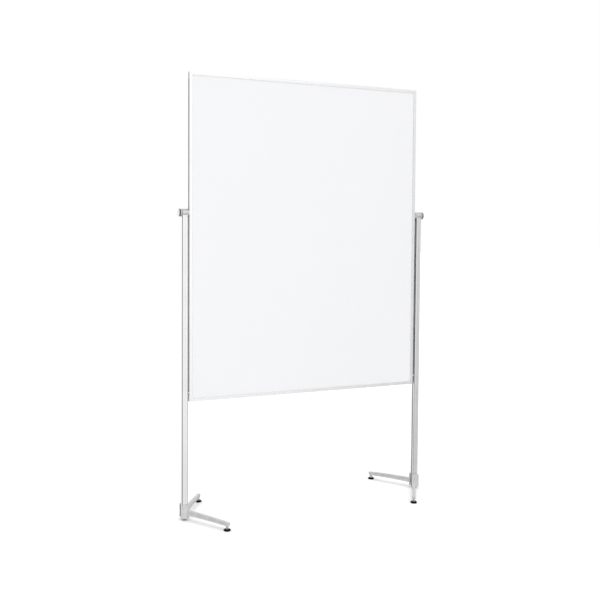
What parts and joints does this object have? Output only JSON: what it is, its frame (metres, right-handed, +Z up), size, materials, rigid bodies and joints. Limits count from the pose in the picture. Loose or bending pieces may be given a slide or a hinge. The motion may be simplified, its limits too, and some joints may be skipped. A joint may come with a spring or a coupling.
{
  "type": "free-standing whiteboard",
  "caption": "Tall double-sided whiteboard in a mitred aluminium frame, clamped between two posts on splayed cast legs with levelling glides; the board slides up and down.",
  "frame": {"origin": "on the floor, under the middle of the board", "axes": "+X along the board to the right as seen from the front, +Y from the front to the rear, +Z up"},
  "size_m": [1.3, 0.448, 2.045],
  "materials": {
    "writing_enamel": "gloss",
    "honeycomb_core": "matte",
    "frame_anodised": "satin",
    "post_anodised": "satin",
    "clamp_silver": "satin",
    "cap_silver": "satin",
    "cast_silver": "satin",
    "zinc_steel": "satin",
    "slider_plastic": "matte",
    "plug_plastic": "matte",
    "insert_brass": "satin",
    "grip_rubber": "matte",
    "glide_black": "matte"
  },
  "bodies": {
    "left_stand": {"clamp_bolt_left": "zinc_steel", "clamp_head_left": "clamp_silver", "clamp_pad_left": "slider_plastic", "clamp_set_screw_left": "zinc_steel", "leg_bolts_left": "zinc_steel", "leg_left_front": "cast_silver", "leg_left_rear": "cast_silver", "post_left": "post_anodised", "post_plug_left": "plug_plastic"},
    "board": {"board_core": "honeycomb_core", "corner_keys": "zinc_steel", "frame_bottom": "frame_anodised", "frame_left": "frame_anodised", "frame_right": "frame_anodised", "frame_top": "frame_anodised", "front_sheet": "writing_enamel", "guide_nuts": "zinc_steel", "guide_screws": "zinc_steel", "guide_slider_left": "slider_plastic", "guide_slider_right": "slider_plastic", "rear_sheet": "writing_enamel"},
    "right_stand": {"clamp_bolt_right": "zinc_steel", "clamp_head_right": "clamp_silver", "clamp_pad_right": "slider_plastic", "clamp_set_screw_right": "zinc_steel", "leg_bolts_right": "zinc_steel", "leg_right_front": "cast_silver", "leg_right_rear": "cast_silver", "post_plug_right": "plug_plastic", "post_right": "post_anodised"},
    "knob_left": {"knob_body_left": "clamp_silver", "knob_cap_left": "cap_silver", "knob_grip_ring_left": "grip_rubber", "knob_insert_left": "insert_brass"},
    "knob_right": {"knob_body_right": "clamp_silver", "knob_cap_right": "cap_silver", "knob_grip_ring_right": "grip_rubber", "knob_insert_right": "insert_brass"},
    "foot_left_front": {"glide_pad_left_front": "glide_black", "glide_stud_left_front": "zinc_steel"},
    "foot_left_rear": {"glide_pad_left_rear": "glide_black", "glide_stud_left_rear": "zinc_steel"},
    "foot_right_front": {"glide_pad_right_front": "glide_black", "glide_stud_right_front": "zinc_steel"},
    "foot_right_rear": {"glide_pad_right_rear": "glide_black", "glide_stud_right_rear": "zinc_steel"}
  },
  "joints": [
    {"name": "board_height", "type": "slide", "parent": "left_stand", "child": "board", "axis": [0, 0, 1], "range_m": [-0.42, 0.15]},
    {"name": "right_stand_height", "type": "slide", "parent": "board", "child": "right_stand", "axis": [0, 0, 1], "range_m": [-0.15, 0.42]},
    {"name": "knob_left_turn", "type": "hinge", "parent": "left_stand", "child": "knob_left", "pos_m": [-0.641, 0, 1.41], "axis": [-1, 0, 0], "range_deg": [0, 360]},
    {"name": "knob_right_turn", "type": "hinge", "parent": "right_stand", "child": "knob_right", "pos_m": [0.641, 0, 1.41], "axis": [1, 0, 0], "range_deg": [0, 360]},
    {"name": "foot_left_front_level", "type": "slide", "parent": "left_stand", "child": "foot_left_front", "axis": [0, 0, 1], "range_m": [-0.008, 0.005]},
    {"name": "foot_left_rear_level", "type": "slide", "parent": "left_stand", "child": "foot_left_rear", "axis": [0, 0, 1], "range_m": [-0.008, 0.005]},
    {"name": "foot_right_front_level", "type": "slide", "parent": "right_stand", "child": "foot_right_front", "axis": [0, 0, 1], "range_m": [-0.008, 0.005]},
    {"name": "foot_right_rear_level", "type": "slide", "parent": "right_stand", "child": "foot_right_rear", "axis": [0, 0, 1], "range_m": [-0.008, 0.005]}
  ],
  "couplings": [
    {"joint": "right_stand_height", "follows": "board_height", "ratio": -1}
  ]
}
